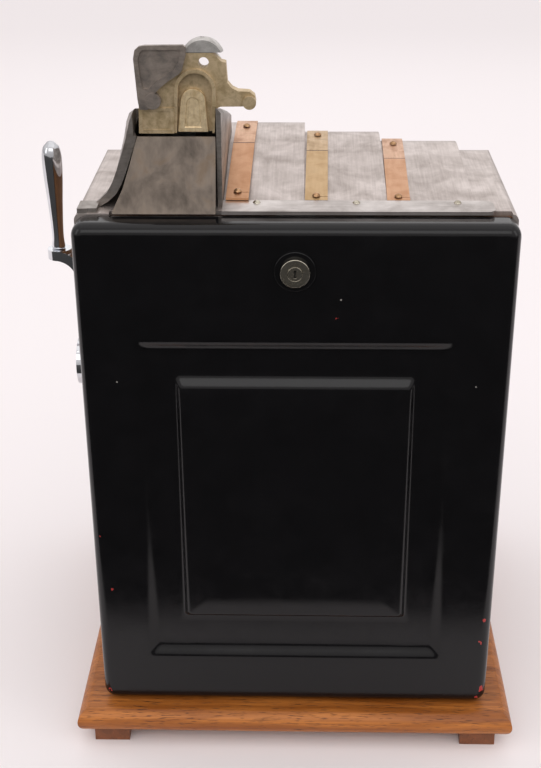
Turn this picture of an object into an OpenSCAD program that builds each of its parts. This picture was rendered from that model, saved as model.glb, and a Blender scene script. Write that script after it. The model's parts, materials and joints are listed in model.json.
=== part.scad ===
// Mechanical bell fruit machine: oak and aluminium case, steel rear door, side handle and three reels.
// +Z is up and +Y is the rear, where the door is. The handle is on the +X side.
// The origin lies on the floor, in the centre of the four stand bolts.

/* [Stand] */
// Height of the four feet
foot_h = 13; // [10:1:18]
// Thickness of the base board
base_t = 25; // [22:1:30]
// Width of the base board, side to side
base_w = 410; // [404:1:430]
// Depth of the base board, front to back
base_d = 400; // [398:1:420]
// Distance between the stand bolts, side to side
bolt_x = 348; // [340:1:352]
// Distance between the stand bolts, front to back
bolt_y = 340; // [330:1:344]
// Radius of the stand bolt holes
bolt_r = 3.5; // [3:0.5:4]

/* [Case] */
// Width over the castings and the rear door
case_w = 362; // [361:1:364]
// Height of the flat top above the base board
case_h = 478; // [478:1:482]
// Thickness of the oak side panels
panel_t = 16; // [14:1:18]
// Wall of the aluminium castings
skin_t = 4; // [3.5:0.5:4.5]
// Height of one step of the cascade on the top
step_h = 8.5; // [7:0.5:9]
// Tilt of the sloping front, from the horizontal
slope_a = 66; // [65:1:67]

/* [Rear door] */
// Depth of the door's folded edge
door_d = 25; // [24:1:26]
// Height of the door
door_h = 475; // [472:1:475]
// Depth of the pressed recess in the door
press_d = 5; // [4:0.5:6]

/* [Reels] */
// Outer radius of a reel
reel_r = 84; // [80:1:85]
// Width of a reel rim
reel_w = 40; // [36:1:42]
// Distance from one reel to the next
reel_pitch = 55; // [54:1:56]

/* [Hidden] */
$fn = 48;
gap = 0.3;
eps = 0.01;

deck_z = foot_h + base_t;
top_z = deck_z + case_h;
half_w = case_w / 2;
lip_t = 5;
oak_x = half_w - lip_t;
inner_x = oak_x - panel_t;

// Rear door: its outer face, the lip that meets the case, and the hinge line in its bottom edge
door_y = 180;
door_lip_y = door_y - door_d;
door_z0 = deck_z + 1.5;
door_edge_r = 9;
door_corner = 11;
door_sheet = 1.6;
hinge_y = door_y - door_edge_r;
hinge_z = door_z0 + door_edge_r;
lock_z = deck_z + 438.4;

// Case profile, seen from the side. Each point is [y, z, tilt of its outward normal, share of step height].
ridge_y = -23;
ridge_r = 70;
foot_arc_r = 150;
fade_len = 80;
ridge_pt = [ridge_y - ridge_r * sin(slope_a), top_z - ridge_r + ridge_r * cos(slope_a)];
slope_len = 180;
slope_end = [ridge_pt[0] - slope_len * cos(slope_a), ridge_pt[1] - slope_len * sin(slope_a)];
arc_c = [slope_end[0] + foot_arc_r * sin(slope_a), slope_end[1] - foot_arc_r * cos(slope_a)];
front_y = arc_c[0] - foot_arc_r;
front_top_z = arc_c[1];
top_rear_y = 146;
bend_y = 27;
nose_y = -10;
function lift_at(y) = y >= 128 ? 0 : y >= bend_y ? 0.83 * (128 - y) / (128 - bend_y)
    : y >= ridge_y ? 0.83 + 0.17 * (bend_y - y) / (bend_y - ridge_y) : 1;
top_pts = [for (y = [top_rear_y, 128, bend_y, nose_y, ridge_y]) [y, top_z, 0, lift_at(y)]];
ridge_pts = [for (i = [1:12]) let (a = slope_a * i / 12)
    [ridge_y - ridge_r * sin(a), top_z - ridge_r + ridge_r * cos(a), a, 1]];
slope_start = [[ridge_pt[0], ridge_pt[1], slope_a, 1]];
fade_end = [[ridge_pt[0] - fade_len * cos(slope_a), ridge_pt[1] - fade_len * sin(slope_a), slope_a, 0]];
foot_pts = [for (i = [0:8]) let (a = slope_a + (90 - slope_a) * i / 8)
    [arc_c[0] - foot_arc_r * sin(a), arc_c[1] + foot_arc_r * cos(a), a, 0]];
lower_pts = [[front_y, front_top_z, 90, 0], [front_y, deck_z, 90, 0]];

function lifted(p, d) = [p[0] - d * sin(p[2]), p[1] + d * cos(p[2])];
function rev(list) = [for (i = [len(list) - 1:-1:0]) list[i]];
function skin(pts, outer, inner) = concat([for (p = pts) lifted(p, outer * p[3])],
    rev([for (p = pts) lifted(p, inner * p[3] - skin_t)]));
function slab(pts, depth) = concat([for (p = pts) lifted(p, 0)], rev([for (p = pts) lifted(p, -depth)]));
function from_y(pts, y) = [for (p = pts) if (p[0] <= y + eps) p];

// Steps of the cascade: [level, low x, high x, rearmost y]
goose_x = 60;
goose_front_x = 152;
wall_mid = skin_t / 2;
bands = [[0, -half_w, -148, top_rear_y], [1, -148, -76, top_rear_y], [2, -76, -7, top_rear_y],
    [3, -7, goose_x - wall_mid, top_rear_y], [0, goose_x - wall_mid, half_w, top_rear_y],
    [3, goose_x - wall_mid, goose_front_x - wall_mid, nose_y]];

// Reels and mechanism
reel_depth = 96;
reel_s = 130;
reel_y = ridge_pt[0] - reel_s * cos(slope_a) + reel_depth * sin(slope_a);
reel_z = ridge_pt[1] - reel_s * sin(slope_a) - reel_depth * cos(slope_a);
reel_x = [-30 - reel_pitch, -30, -30 + reel_pitch];
reel_hub_r = 9;
axle_r = 6;
star_r = 36;
star_teeth = 20;
side_x0 = -128;
side_x1 = 72;
mech_plate_t = 5;
mech_z = 150;
nose_a = -9;
nose_away = 3.4;
nose_l = 86;
nose_h = 5;
function from_reel(d) = [reel_y + d * cos(nose_a), reel_z + d * sin(nose_a)];
nose_pt = from_reel(star_r + nose_away);
stop_y = nose_pt[0] + nose_l * sin(nose_a);
stop_z = nose_pt[1] - nose_l * cos(nose_a);
fan_x = -92;
fan_y = 66;
rods = [[-96, 176], [100, 176], [stop_y, stop_z]];

// Handle, its crank and the kicker that the crank's link moves
hub_y = 40;
hub_z = 332;
shaft_r = 8;
crank_l = 45;
kick_y = 95;
kick_z = 215;
crank_x = 132;
pin_r = 4;
kick_r = 6;
rod_r = 5;
run = 0.05;

// Openings and fittings that more than one part meets
slot_x = 104;
slot_s = 128;
award_x = -30;
award_z = 208;
knob_x = 140;
knob_z = 240;
knob_r = 5;

module across(x0, x1) {
    translate([x0, 0, 0]) rotate([90, 0, 90]) linear_extrude(x1 - x0) children();
}
module along_y(y0, y1) {
    translate([0, y1, 0]) rotate([90, 0, 0]) linear_extrude(y1 - y0) children();
}
module rod_x(x0, x1, y, z, r) {
    translate([x0, y, z]) rotate([0, 90, 0]) cylinder(h = x1 - x0, r = r);
}
module rod_y(y0, y1, x, z, r) {
    translate([x, y0, z]) rotate([-90, 0, 0]) cylinder(h = y1 - y0, r = r);
}
module on_slope(x, s) {
    translate([x, ridge_pt[0] - s * cos(slope_a), ridge_pt[1] - s * sin(slope_a)])
        rotate([slope_a, 0, 0]) children();
}
module box(x0, x1, y0, y1, z0, z1) {
    translate([x0, y0, z0]) cube([x1 - x0, y1 - y0, z1 - z0]);
}
module round_rect(w, h, r) {
    square([w - 2 * r, h], center = true);
    square([w, h - 2 * r], center = true);
    for (sx = [-1, 1], sy = [-1, 1]) translate([sx * (w / 2 - r), sy * (h / 2 - r)]) circle(r);
}
module link_2d(p, q, r0, r1) {
    d = sqrt(pow(q[0] - p[0], 2) + pow(q[1] - p[1], 2));
    a = atan2(q[1] - p[1], q[0] - p[0]);
    w = 0.97;
    translate(p) circle(r0);
    translate(q) circle(r1);
    translate(p) rotate(a) polygon([[0, -r0 * w], [d, -r1 * w], [d, r1 * w], [0, r0 * w]]);
}
module bands_of(pts) {
    for (b = bands) {
        part = from_y(pts, b[3]);
        outer = step_h * b[0];
        inner = step_h * max(b[0] - 1, 0);
        if (len(part) > 1) across(b[1], b[2]) polygon(skin(part, outer, inner));
    }
    for (x = [goose_x - skin_t, goose_front_x - skin_t])
        across(x, x + skin_t) polygon(skin(from_y(pts, x > goose_x ? nose_y : top_rear_y), 3 * step_h, 0));
}
module chute_hole(z0, z1) {
    box(78, 126, 40, 122, z0, z1);
}
module side_returns(pts) {
    return_d = 14;
    for (x = [-half_w, oak_x]) across(x, x + lip_t) polygon(slab(pts, return_d));
}

// Base board with half-round edges
module base_board() {
    edge_r = base_t / 2;
    color("#b9783c") difference() {
        intersection() {
            along_y(-base_d, base_d) translate([0, foot_h + edge_r]) {
                square([base_w - base_t, base_t], center = true);
                for (s = [-1, 1]) translate([s * (base_w / 2 - edge_r), 0]) circle(edge_r);
            }
            across(-base_w, base_w) translate([0, foot_h + edge_r]) {
                square([base_d - base_t, base_t], center = true);
                for (s = [-1, 1]) translate([s * (base_d / 2 - edge_r), 0]) circle(edge_r);
            }
        }
        stand_bolts();
    }
}
module stand_bolts() {
    bolt_depth = foot_h + 14;
    for (sx = [-1, 1], sy = [-1, 1])
        translate([sx * bolt_x / 2, sy * bolt_y / 2, -1]) cylinder(h = bolt_depth + 1, r = bolt_r);
}
module base_feet() {
    foot_w = 33;
    foot_d = 44;
    color("#7d5336") difference() {
        for (sx = [-1, 1], sy = [-1, 1]) translate([sx * bolt_x / 2, sy * bolt_y / 2, foot_h / 2])
            cube([foot_w, foot_d, foot_h], center = true);
        stand_bolts();
    }
}

// Oak sides: the case profile, set in behind the castings, cut back low down for the door's swing
module oak_side(x) {
    rear_y = door_lip_y - 0.6;
    notch_y = 150.8;
    notch_z = 62;
    edge = [for (p = concat(top_pts, ridge_pts, foot_pts, lower_pts)) lifted(p, -skin_t)];
    across(x, x + panel_t) polygon(concat([[rear_y, top_z - skin_t]], edge,
        [[notch_y, deck_z], [notch_y, notch_z], [rear_y, notch_z + 6]]));
}
module side_panel_right() {
    color("#a86f38") difference() {
        oak_side(inner_x);
        rod_x(inner_x - 1, oak_x + 1, hub_y, hub_z, 15);
    }
}
module side_panel_left() {
    color("#a86f38") oak_side(-oak_x);
}
module bottom_board() {
    board_t = 12;
    color("#a07040") box(-inner_x, inner_x, front_y + skin_t, 150, deck_z, deck_z + board_t);
}
module top_rear_rail() {
    color("#8f6234") box(-inner_x, inner_x, 126, 146, 492, top_z - skin_t);
}

// Castings
module stepped_top() {
    pts = concat(top_pts, ridge_pts);
    side_pts = concat([[door_lip_y - 1, top_z, 0, 0]], pts);
    corner_r = 6;
    color("#c4c0bc") difference() {
        intersection() {
            union() {
                bands_of(pts);
                side_returns(side_pts);
                box(goose_front_x, half_w, top_rear_y - 1, door_lip_y - 1, top_z - skin_t, top_z);
            }
            along_y(-300, 300) {
                translate([-half_w, 300]) square([case_w, top_z - 300 - corner_r]);
                translate([corner_r - half_w, 300]) square([case_w - 2 * corner_r, 300]);
                for (s = [-1, 1]) translate([s * (half_w - corner_r), top_z - corner_r]) circle(corner_r);
            }
        }
        chute_hole(top_z - skin_t - 1, top_z + 1);
    }
}
module upper_front() {
    pts = concat(slope_start, fade_end, foot_pts);
    color("#c8c5c2") difference() {
        union() {
            bands_of(pts);
            side_returns(pts);
        }
        on_slope(reel_x[1], reel_s) box(-80, 80, -35, 35, -10, 10);
        on_slope(slot_x, slot_s) box(-17, 17, -28, 28, -10, 10);
    }
}
module lower_front() {
    flute_r = 5;
    flute_z0 = deck_z + 24;
    flute_h = 160;
    color("#c2bebb") difference() {
        union() {
            across(-half_w, half_w) polygon(slab(lower_pts, skin_t));
            side_returns(lower_pts);
            for (x = [72:20:152]) translate([x, front_y, flute_z0]) cylinder(h = flute_h, r = flute_r);
            box(70, 154, front_y, front_y + 8, flute_z0, flute_z0 + flute_h);
        }
        cup_recess();
        award_hole();
        rod_y(front_y - 1, front_y + skin_t + 9, knob_x, knob_z, knob_r);
    }
}
cup_x = -30;
cup_z = 118;
cup_r = 40;
module cup_recess() {
    along_y(front_y - 1, front_y + skin_t + 1) {
        translate([cup_x, cup_z]) circle(cup_r + 1);
        translate([cup_x - cup_r - 1, 68]) square([2 * cup_r + 2, cup_z - 68]);
    }
}
module award_hole() {
    along_y(front_y - 1, front_y + skin_t + 1) translate([award_x, award_z]) square([150, 60], center = true);
}

// Strip along the rear of the top, with its screws
strip_y0 = 128;
strip_y1 = 157;
strip_t = 3;
strip_x = [32, -50, -133];
strip_end = -162;
strip_screw_y = 134;
module rear_trim_strip() {
    r = 7;
    color("#b9b4b0") difference() {
        translate([0, 0, top_z]) linear_extrude(strip_t) {
            translate([strip_end + r, strip_y0]) square([goose_x - strip_end - r, strip_y1 - strip_y0]);
            translate([strip_end, strip_y0 + r]) square([r + 1, strip_y1 - strip_y0 - 2 * r]);
            for (y = [strip_y0 + r, strip_y1 - r]) translate([strip_end + r, y]) circle(r);
        }
        for (x = strip_x) translate([x, strip_screw_y, top_z - 1]) cylinder(h = strip_t + 2, r = 1.8);
    }
}
module dome_screw(r, h, shank_r, shank_l) {
    ball = (r * r + h * h) / (2 * h);
    rotate_extrude() difference() {
        intersection() {
            translate([0, h - ball]) circle(ball);
            square([r, h]);
        }
        translate([-r, -2 * r]) square([2 * r, 2 * r]);
    }
    translate([0, 0, -shank_l]) cylinder(h = shank_l, r = shank_r);
}
module trim_screws() {
    color("#cfcac4") for (x = strip_x)
        translate([x, strip_screw_y, top_z + strip_t]) dome_screw(3.3, 2.2, 1.6, 3);
}

// Copper straps over the steps. Each follows its own step and is split by a saw cut at its rear screw.
strap_w = 19;
strap_t = 2;
strap_y = [[129.5, -35], [126, -32], [126, -36]];
strap_x = [[48.5, 46.2], [-17, -18.9], [-85.3, -88.3]];
function strap_z(k, y) = top_z + (4 - k) * step_h * lift_at(y);
function strap_turn(k) = let (x = strap_x[k - 1], y = strap_y[k - 1]) atan((x[0] - x[1]) / (y[0] - y[1]));
function strap_line(k) = let (ys = [strap_y[k - 1][0], bend_y, ridge_y, strap_y[k - 1][1]],
    rear_z = max(strap_z(k, ys[0]), top_z + (k == 1 ? strip_t : 0)), ridge_top = strap_z(k, ridge_y),
    zs = [rear_z, strap_z(k, bend_y), ridge_top, ridge_top - 0.9]) [for (i = [0:3]) [ys[i], zs[i] + 0.4]];
module strap_body(k) {
    base = strap_line(k);
    mid_x = (strap_x[k - 1][0] + strap_x[k - 1][1]) / 2;
    mid_y = (base[0][0] + base[3][0]) / 2;
    difference() {
        translate([mid_x, mid_y, 0]) rotate([0, 0, -strap_turn(k)]) translate([-mid_x, -mid_y, 0])
            across(mid_x - strap_w / 2, mid_x + strap_w / 2)
                polygon(concat([for (p = base) [p[0], p[1] + strap_t]], rev(base)));
        box(strap_x[k - 1][0] - 12, strap_x[k - 1][0] - 3, 119, 119.8, top_z, top_z + 12);
        strap_holes(k);
    }
}
module strap_holes(k) {
    for (i = [0, 1]) translate([strap_x[k - 1][i], screw_y[i], top_z - 2]) cylinder(h = 40, r = 1.7);
}
screw_y = [119, -14];
module strap_1() {
    color("#d3a684") strap_body(1);
}
module strap_2() {
    color("#cdb089") strap_body(2);
}
module strap_3() {
    color("#e0b091") strap_body(3);
}
module strap_screws() {
    color("#caa27e") for (k = [1:3], i = [0, 1])
        translate([strap_x[k - 1][i], screw_y[i], lookup(screw_y[i], rev(strap_line(k))) + strap_t + 0.7])
            dome_screw(3.4, 2.4, 1.5, 2);
}

// Gooseneck: a cast hood with a flared outer wall, lofted from sections that run from the rear to the ridge
goose_rear_y = 137;
goose_ys = [goose_rear_y, 126, 110, 93, 66, 38, 9, nose_y];
function goose_top(y) = y > 93 ? 598 - (goose_rear_y - y) * 0.25
    : y > 9 ? 587 - (93 - y) * 0.28 : 563.5 - (9 - y) * 0.35;
goose_h = [0, 0.03, 0.07, 0.15, 0.26, 0.4, 0.56, 0.71, 0.86, 0.95, 1];
goose_rear = [172, 167, 162, 155, 150, 145.5, 141, 137, 134, 131, 126];
goose_fore = [152, 151.6, 151.2, 150.8, 150.4, 150, 149.4, 148.8, 148, 146, 141];
function goose_outer(y) = let (m = pow((goose_rear_y - y) / (goose_rear_y - nose_y), 0.55))
    goose_rear * (1 - m) + goose_fore * m;
function goose_section(y, near, far, floor_z) = let (n = len(goose_h), outer = goose_outer(y),
    zs = [for (h = goose_h) floor_z + (goose_top(y) - near - floor_z) * h])
    concat([for (i = [0:n - 1]) [goose_x + near + (i == n - 1 ? 3 : 0), y, zs[i]]],
    [for (i = [n - 1:-1:0]) [outer[i] - far, y, zs[i]]]);
// Each section goes up one side and down the other, so its point i lies across from its point n - 1 - i
module loft(sections) {
    n = len(sections[0]);
    last = (len(sections) - 1) * n;
    sides = [for (j = [0:n:last - n], i = [0:n - 1]) let (a = j + i, b = j + (i + 1) % n)
        each [[a, b, b + n], [a, b + n, a + n]]];
    first_end = [for (i = [0:n / 2 - 2]) [n - 1 - i, n - 2 - i, i + 1, i]];
    last_end = [for (r = first_end) rev(r) + last * [1, 1, 1, 1]];
    polyhedron([for (s = sections) each s], concat(first_end, sides, last_end));
}
module gooseneck_housing() {
    wall = 4;
    flared_wall = 7.5;
    inside = [for (y = goose_ys) if (y > nose_y) goose_section(y, wall, flared_wall, top_z - 1)];
    mouth = [for (p = inside[0]) p + [0, 1, 0]];
    nose = [[nose_y, 557, 0], [-16, 554.5, 1], [-21, 551, 2.5], [-25.5, 546, 5], [-28.5, 542.6, 8]];
    color("#a9a49e") difference() {
        union() {
            difference() {
                loft([for (y = goose_ys) goose_section(y, 0, 0, top_z)]);
                loft(concat([mouth], inside));
            }
            loft([for (p = nose) let (z0 = top_z + 3 * step_h) [[goose_x + p[2], p[0], z0],
                [goose_x + p[2], p[0], p[1] - 2], [goose_x + 3 + p[2], p[0], p[1]],
                [142 - p[2], p[0], p[1]], [148 - p[2], p[0], p[1] - 3], [151 - p[2], p[0], z0]]]);
            box(goose_front_x + 18, 178, 133, 154, top_z, top_z + 4);
            box(goose_front_x + 10, goose_front_x + 20, 133, 153, top_z, top_z + 4);
        }
        box(goose_x + wall, 131, 114, 140, 575.6, 620);
        chute_hole(top_z - 1, top_z + 6);
    }
}
module chute_cover() {
    t = 1.6;
    outline = [[158, 516.4], [153, 526.5], [135.5, 574.8]];
    under = [[135.5 - t, 574.4], [153 - t, 526.1], [158 - t, 516.4]];
    color("#6e675f") intersection() {
        across(goose_x, 160) polygon(concat(outline, under));
        along_y(120, 170) polygon([[goose_x + 4.6, 510], [149, 510], [149, 518], [140.4, 535], [134.6, 553],
            [128.6, 574], [128, 600], [goose_x + 4.6, 600]]);
    }
}

// Coin head
head_y0 = 119;
head_y1 = 129;
head_foot = 575.8;
hole_c = [73.2, 632.6];
arch_c = [80.5, 611];
stud_c = [113.9, 603.6];
module arch_2d(r, low_l, low_r) {
    translate(arch_c) circle(r);
    polygon([[low_r, 575.6], [low_l, 575.6], [arch_c[0] + r, arch_c[1]], [arch_c[0] - r, arch_c[1]]]);
}
module coin_head_body() {
    outline = [[84.4, 640], [66.1, 640], [59.5, 633.6], [55.6, 632.6], [54.6, 616.6], [50.9, 612.2],
        [46.3, 609.9], [37.1, 609.3], [33, 606], [32, 601], [33.3, 597.6], [60.5, 597.3], [64.6, 595.3],
        [65.7, head_foot], [127, head_foot], [126.4, 596], [126, 640]];
    color("#ab9a74") difference() {
        union() {
            along_y(head_y0, head_y1) polygon(outline);
            along_y(head_y1 - 1, head_y1 + 2.4) intersection() {
                arch_2d(16.6, 98, 62);
                translate([60, 598]) square([42, 40]);
            }
            along_y(head_y1 - 1, head_y1 + 1.5)
                polygon([[98.2, head_foot], [127, head_foot], [126.4, 596], [98.2, 596.8]]);
            rod_y(head_y1 - 1, head_y1 + 3.2, 37.2, 601, 5.4);
        }
        along_y(head_y1 - 6.5, head_y1 + 9) arch_2d(13.6, 96.4, 67.5);
        along_y(head_y1 + 0.8, head_y1 + 9) polygon([[101, 579], [123.6, 579], [123.2, 593.6], [101, 594]]);
        rod_y(head_y0 - 1, head_y1 + 9, hole_c[0], hole_c[1], 4.2);
    }
    color("#ab9a74") rod_y(head_y1 - 1, head_y1 + 6.9, stud_c[0], stud_c[1], 3);
}
module coin_track_plate() {
    color("#b8a47c") difference() {
        along_y(head_y1 - 6.5, head_y1 - 2.5) {
            translate([82.7, 601]) circle(10);
            polygon([[72.7, 601], [71, 576], [95.6, 576], [92.7, 601]]);
        }
        along_y(head_y1 - 3.3, head_y1) {
            translate([82.9, 599]) circle(5);
            polygon([[77.9, 599], [76.9, 580], [90, 580], [87.9, 599]]);
        }
    }
}
module coin_head_cap() {
    dome = [74, 634];
    back_y = 113;
    color("#bdbcba") difference() {
        union() {
            difference() {
                hull() {
                    translate([dome[0], 122, dome[1]]) sphere(r = 17.6, $fn = 32);
                    translate([dome[0], 100, dome[1] - 2]) sphere(r = 15, $fn = 32);
                }
                box(40, 110, 60, 150, 600, 640.4);
                box(40, 110, head_y1, 150, 600, 660);
            }
            along_y(back_y, head_y0)
                polygon([[62, 600], [124, 600], [124, 626], [100, 640.6], [66, 640.6], [60, 633], [60, 610]]);
            box(64, 122, 96, back_y + 1, 600, 604);
            box(56.6, 66, back_y, head_y0 - 0.4, 596.9, 612);
        }
        rod_y(100, head_y0 + 1, hole_c[0], hole_c[1], 7.5);
        translate([dome[0] - 1.6, 98, 630]) cube([3.2, 26, 30]);
    }
}
module coin_head_cover() {
    outer = [[128.1, 637], [126.8, 643.4], [123.4, 646.4], [118.8, 647.2], [88.7, 647.5], [86.4, 645.9],
        [86.6, 639.5], [88.6, 633], [90.2, 627.3], [93, 624.4], [101, 619.4], [107.6, 614.2], [111.8, 610]];
    low = [[112, 607.8], [112.6, 598.6], [119.2, 596.4], [124.9, 596.6], [126.2, 604.6], [127.6, 628.4]];
    inner = [[124.6, 636], [122.8, 641.6], [120.4, 643.6], [90.6, 644], [92.6, 634], [96.4, 628.4],
        [110.6, 618.6], [117, 613], [121.6, 612.8], [123.4, 622]];
    y0 = head_y1 + 2.7;
    color("#77777a") difference() {
        union() {
            along_y(y0, y0 + 4) polygon(concat(outer, low));
            rod_y(y0, y0 + 6, stud_c[0], stud_c[1], 6.4);
        }
        along_y(y0 + 1.6, y0 + 5) polygon(inner);
        rod_y(y0 - 1, y0 + 4.5, stud_c[0], stud_c[1], 3 + run);
    }
}

// Windows, award card and cup on the front
module reel_window_frame() {
    color("#d8d8da") on_slope(reel_x[1], reel_s) difference() {
        union() {
            difference() {
                linear_extrude(5) round_rect(180, 90, 8);
                translate([0, 0, -1]) linear_extrude(7) round_rect(158, 68, 4);
            }
            for (s = [-1, 1]) translate([s * reel_pitch / 2, 0, 1.5]) cube([13, 70, 3], center = true);
        }
        for (sx = [-1, 1], sy = [-1, 1]) translate([sx * 84.5, sy * 39.5, -1]) cylinder(h = 7, r = 1.6);
    }
}
window_t = 2.5;
module reel_glass() {
    color([0.8, 0.9, 0.9, 0.35]) on_slope(reel_x[1], reel_s)
        box(-84, 84, -39, 39, -skin_t - window_t, -skin_t);
}
module coin_window_glass() {
    color([0.8, 0.9, 0.9, 0.35]) on_slope(slot_x, slot_s)
        box(-20, 20, -31, 31, -skin_t - window_t, -skin_t);
}
module award_frame() {
    color("#d0d0d2") along_y(front_y - 4, front_y) translate([award_x, award_z]) difference() {
        round_rect(170, 78, 6);
        square([146, 56], center = true);
    }
}
module award_glass() {
    color([0.85, 0.9, 0.85, 0.4]) along_y(front_y + skin_t, front_y + skin_t + 3)
        translate([award_x, award_z]) square([158, 66], center = true);
}
module coin_cup() {
    wall = 3;
    mouth_z = 114;
    color("#cfcdca") translate([cup_x, front_y + 2, 0]) difference() {
        union() {
            translate([0, 0, 74]) rotate_extrude() difference() {
                intersection() {
                    translate([0, cup_r]) circle(cup_r);
                    square([cup_r, cup_r]);
                }
                intersection() {
                    translate([0, cup_r]) circle(cup_r - wall);
                    square([cup_r, cup_r + 1]);
                }
            }
            translate([-cup_r, -1, 70]) cube([2 * cup_r, wall, 6]);
        }
        translate([-60, 24, 60]) cube([120, 30, 80]);
        translate([-60, -60, mouth_z]) cube([120, 120, 40]);
    }
    color("#cfcdca") translate([cup_x, front_y + 2, 0]) difference() {
        box(-44, 44, 23, 25.5, 66, 164);
        box(-16, 16, 22, 27, 118, 134);
    }
}
module return_knob() {
    color("#cfcfd2") {
        rod_y(front_y - 16, front_y + 20, knob_x, knob_z, knob_r - run);
        rod_y(front_y - 22, front_y - 15, knob_x, knob_z, knob_r + 4);
        rod_y(front_y + 9.4, front_y + 12, knob_x, knob_z, knob_r + 3);
    }
}

// Handle
module handle_bush() {
    color("#c9c9cb") difference() {
        union() {
            rod_x(inner_x - 6, half_w + 2, hub_y, hub_z, 14.7);
            rod_x(oak_x, oak_x + lip_t + 5, hub_y, hub_z, 27);
        }
        rod_x(inner_x - 7, half_w + 6, hub_y, hub_z, shaft_r + run);
    }
}
arm_x = 197;
arm_h = 84;
arc_r = 24;
bar_w = 9;
module handle_arm() {
    color("#dcdde0") {
        difference() {
            rod_x(arm_x - 9, arm_x + 9, hub_y, hub_z, 23);
            rod_x(arm_x - 10, arm_x + 5, hub_y, hub_z, shaft_r);
        }
        difference() {
            across(arm_x - bar_w / 2, arm_x + bar_w / 2)
                link_2d([hub_y, hub_z], [hub_y, hub_z + arm_h], 19, 11);
            rod_x(arm_x - 10, arm_x + 5, hub_y, hub_z, 15);
        }
        translate([arm_x + arc_r, hub_y, hub_z + arm_h]) rotate([90, 0, 0]) rotate([0, 0, 100])
            rotate_extrude(angle = 80) translate([arc_r, 0]) square([bar_w, 21], center = true);
        translate([arm_x + arc_r - 4, hub_y, hub_z + arm_h + arc_r - bar_w / 2]) cylinder(h = bar_w, r = 11);
    }
}
module handle_grip() {
    foot = [arm_x + 20, hub_y, hub_z + arm_h + arc_r + bar_w / 2];
    h = top_z + 29 - foot[2];
    prof = [[0, 0], [6.4, 0], [5.6, 5], [5.2, 12], [5.6, 24], [6.8, 44], [8.2, 62], [9, 78], [8.9, 88],
        [7.4, 96], [4.4, h - 1.4], [0, h]];
    color("#dcdde0") translate(foot) rotate([0, 0.5, 0]) rotate_extrude() polygon(prof);
}
module handle_shaft() {
    color("#9a9a9c") rod_x(118, arm_x + 5, hub_y, hub_z, shaft_r);
}
module handle_crank() {
    color("#8d8f92") {
        difference() {
            across(crank_x - 5, crank_x + 5) link_2d([hub_y, hub_z], [hub_y, hub_z - crank_l], 15, 9);
            rod_x(crank_x - 6, crank_x + 6, hub_y, hub_z, shaft_r);
        }
        rod_x(crank_x - 14, crank_x - 5, hub_y, hub_z - crank_l, pin_r);
    }
}
module return_spring() {
    wire = 1.6;
    coil_r = 13;
    color("#7f8286") for (i = [0:4]) translate([crank_x + 7 + i * 2 * wire, hub_y, hub_z])
        rotate([0, 90, 0]) rotate_extrude() translate([coil_r, 0]) circle(wire, $fn = 16);
}
module operating_link() {
    a = [hub_y, hub_z - crank_l];
    b = [kick_y, kick_z - crank_l];
    color("#a5a7aa") difference() {
        across(crank_x - 12, crank_x - 7) link_2d(a, b, 9, 9);
        rod_x(crank_x - 13, crank_x - 6, a[0], a[1], pin_r + run);
        rod_x(crank_x - 13, crank_x - 6, b[0], b[1], pin_r + 0.5);
    }
}
module kicker() {
    color("#94989b") {
        arm_x1 = crank_x - 14;
        rod_x(side_x0 - 10, arm_x1, kick_y, kick_z, kick_r);
        difference() {
            across(arm_x1 - 8, arm_x1) link_2d([kick_y, kick_z], [kick_y, kick_z - crank_l], 12, 9);
            rod_x(arm_x1 - 9, arm_x1 + 1, kick_y, kick_z, kick_r);
        }
        rod_x(arm_x1 - 1, crank_x - 5.5, kick_y, kick_z - crank_l, pin_r);
        for (reel = reel_x) let (x = reel + reel_w / 2 + 4) difference() {
            across(x, x + 5) link_2d([kick_y, kick_z], [kick_y - 45, kick_z + 78], 12, 5);
            rod_x(x - 1, x + 6, kick_y, kick_z, kick_r);
        }
    }
}

// Mechanism frame
module mech_runners() {
    runner_w = 26;
    color("#8b6136") for (x = [-inner_x, inner_x - runner_w])
        box(x, x + runner_w, -130, 130, mech_z - 20, mech_z);
}
module mech_base() {
    color("#4f6b58") difference() {
        box(-inner_x + 4, inner_x - 4, -128, 128, mech_z, mech_z + 6);
        box(-60, 10, -110, -60, mech_z - 1, mech_z + 7);
        translate([fan_x, fan_y, mech_z - 1]) cylinder(h = 8, r = 2.5 + run);
    }
}
module mech_side(x) {
    z0 = mech_z + 6;
    difference() {
        across(x, x + mech_plate_t) difference() {
            polygon([[-110, z0], [-92, reel_z + 14], [reel_y - 20, reel_z + 24], [reel_y + 22, reel_z + 24],
                [30, 300], [kick_y + 20, 240], [kick_y + 24, z0]]);
            translate([-58, 215]) circle(30);
            translate([24, 205]) circle(34);
        }
        rod_x(x - 1, x + mech_plate_t + 1, kick_y, kick_z, kick_r + run);
        rod_x(x - 1, x + mech_plate_t + 1, reel_y, reel_z, axle_r);
        for (p = rods) rod_x(x - 1, x + mech_plate_t + 1, p[0], p[1], rod_r);
    }
}
module mech_side_right() {
    color("#5d7566") mech_side(side_x1);
}
module mech_side_left() {
    color("#5d7566") mech_side(side_x0);
}
module tie_rods() {
    color("#a8abae") for (p = rods) {
        rod_x(side_x0 - 4, side_x1 + mech_plate_t + 4, p[0], p[1], rod_r);
        rod_x(side_x0 - 8, side_x0, p[0], p[1], 8);
        rod_x(side_x1 + mech_plate_t, side_x1 + mech_plate_t + 8, p[0], p[1], 8);
    }
}
module reel_shaft() {
    color("#b5b8bb") {
        rod_x(side_x0 - 6, side_x1 + mech_plate_t + 6, reel_y, reel_z, axle_r);
        rod_x(side_x0 - 6, side_x0, reel_y, reel_z, 11);
        rod_x(side_x1 + mech_plate_t, side_x1 + mech_plate_t + 6, reel_y, reel_z, 11);
    }
}

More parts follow.
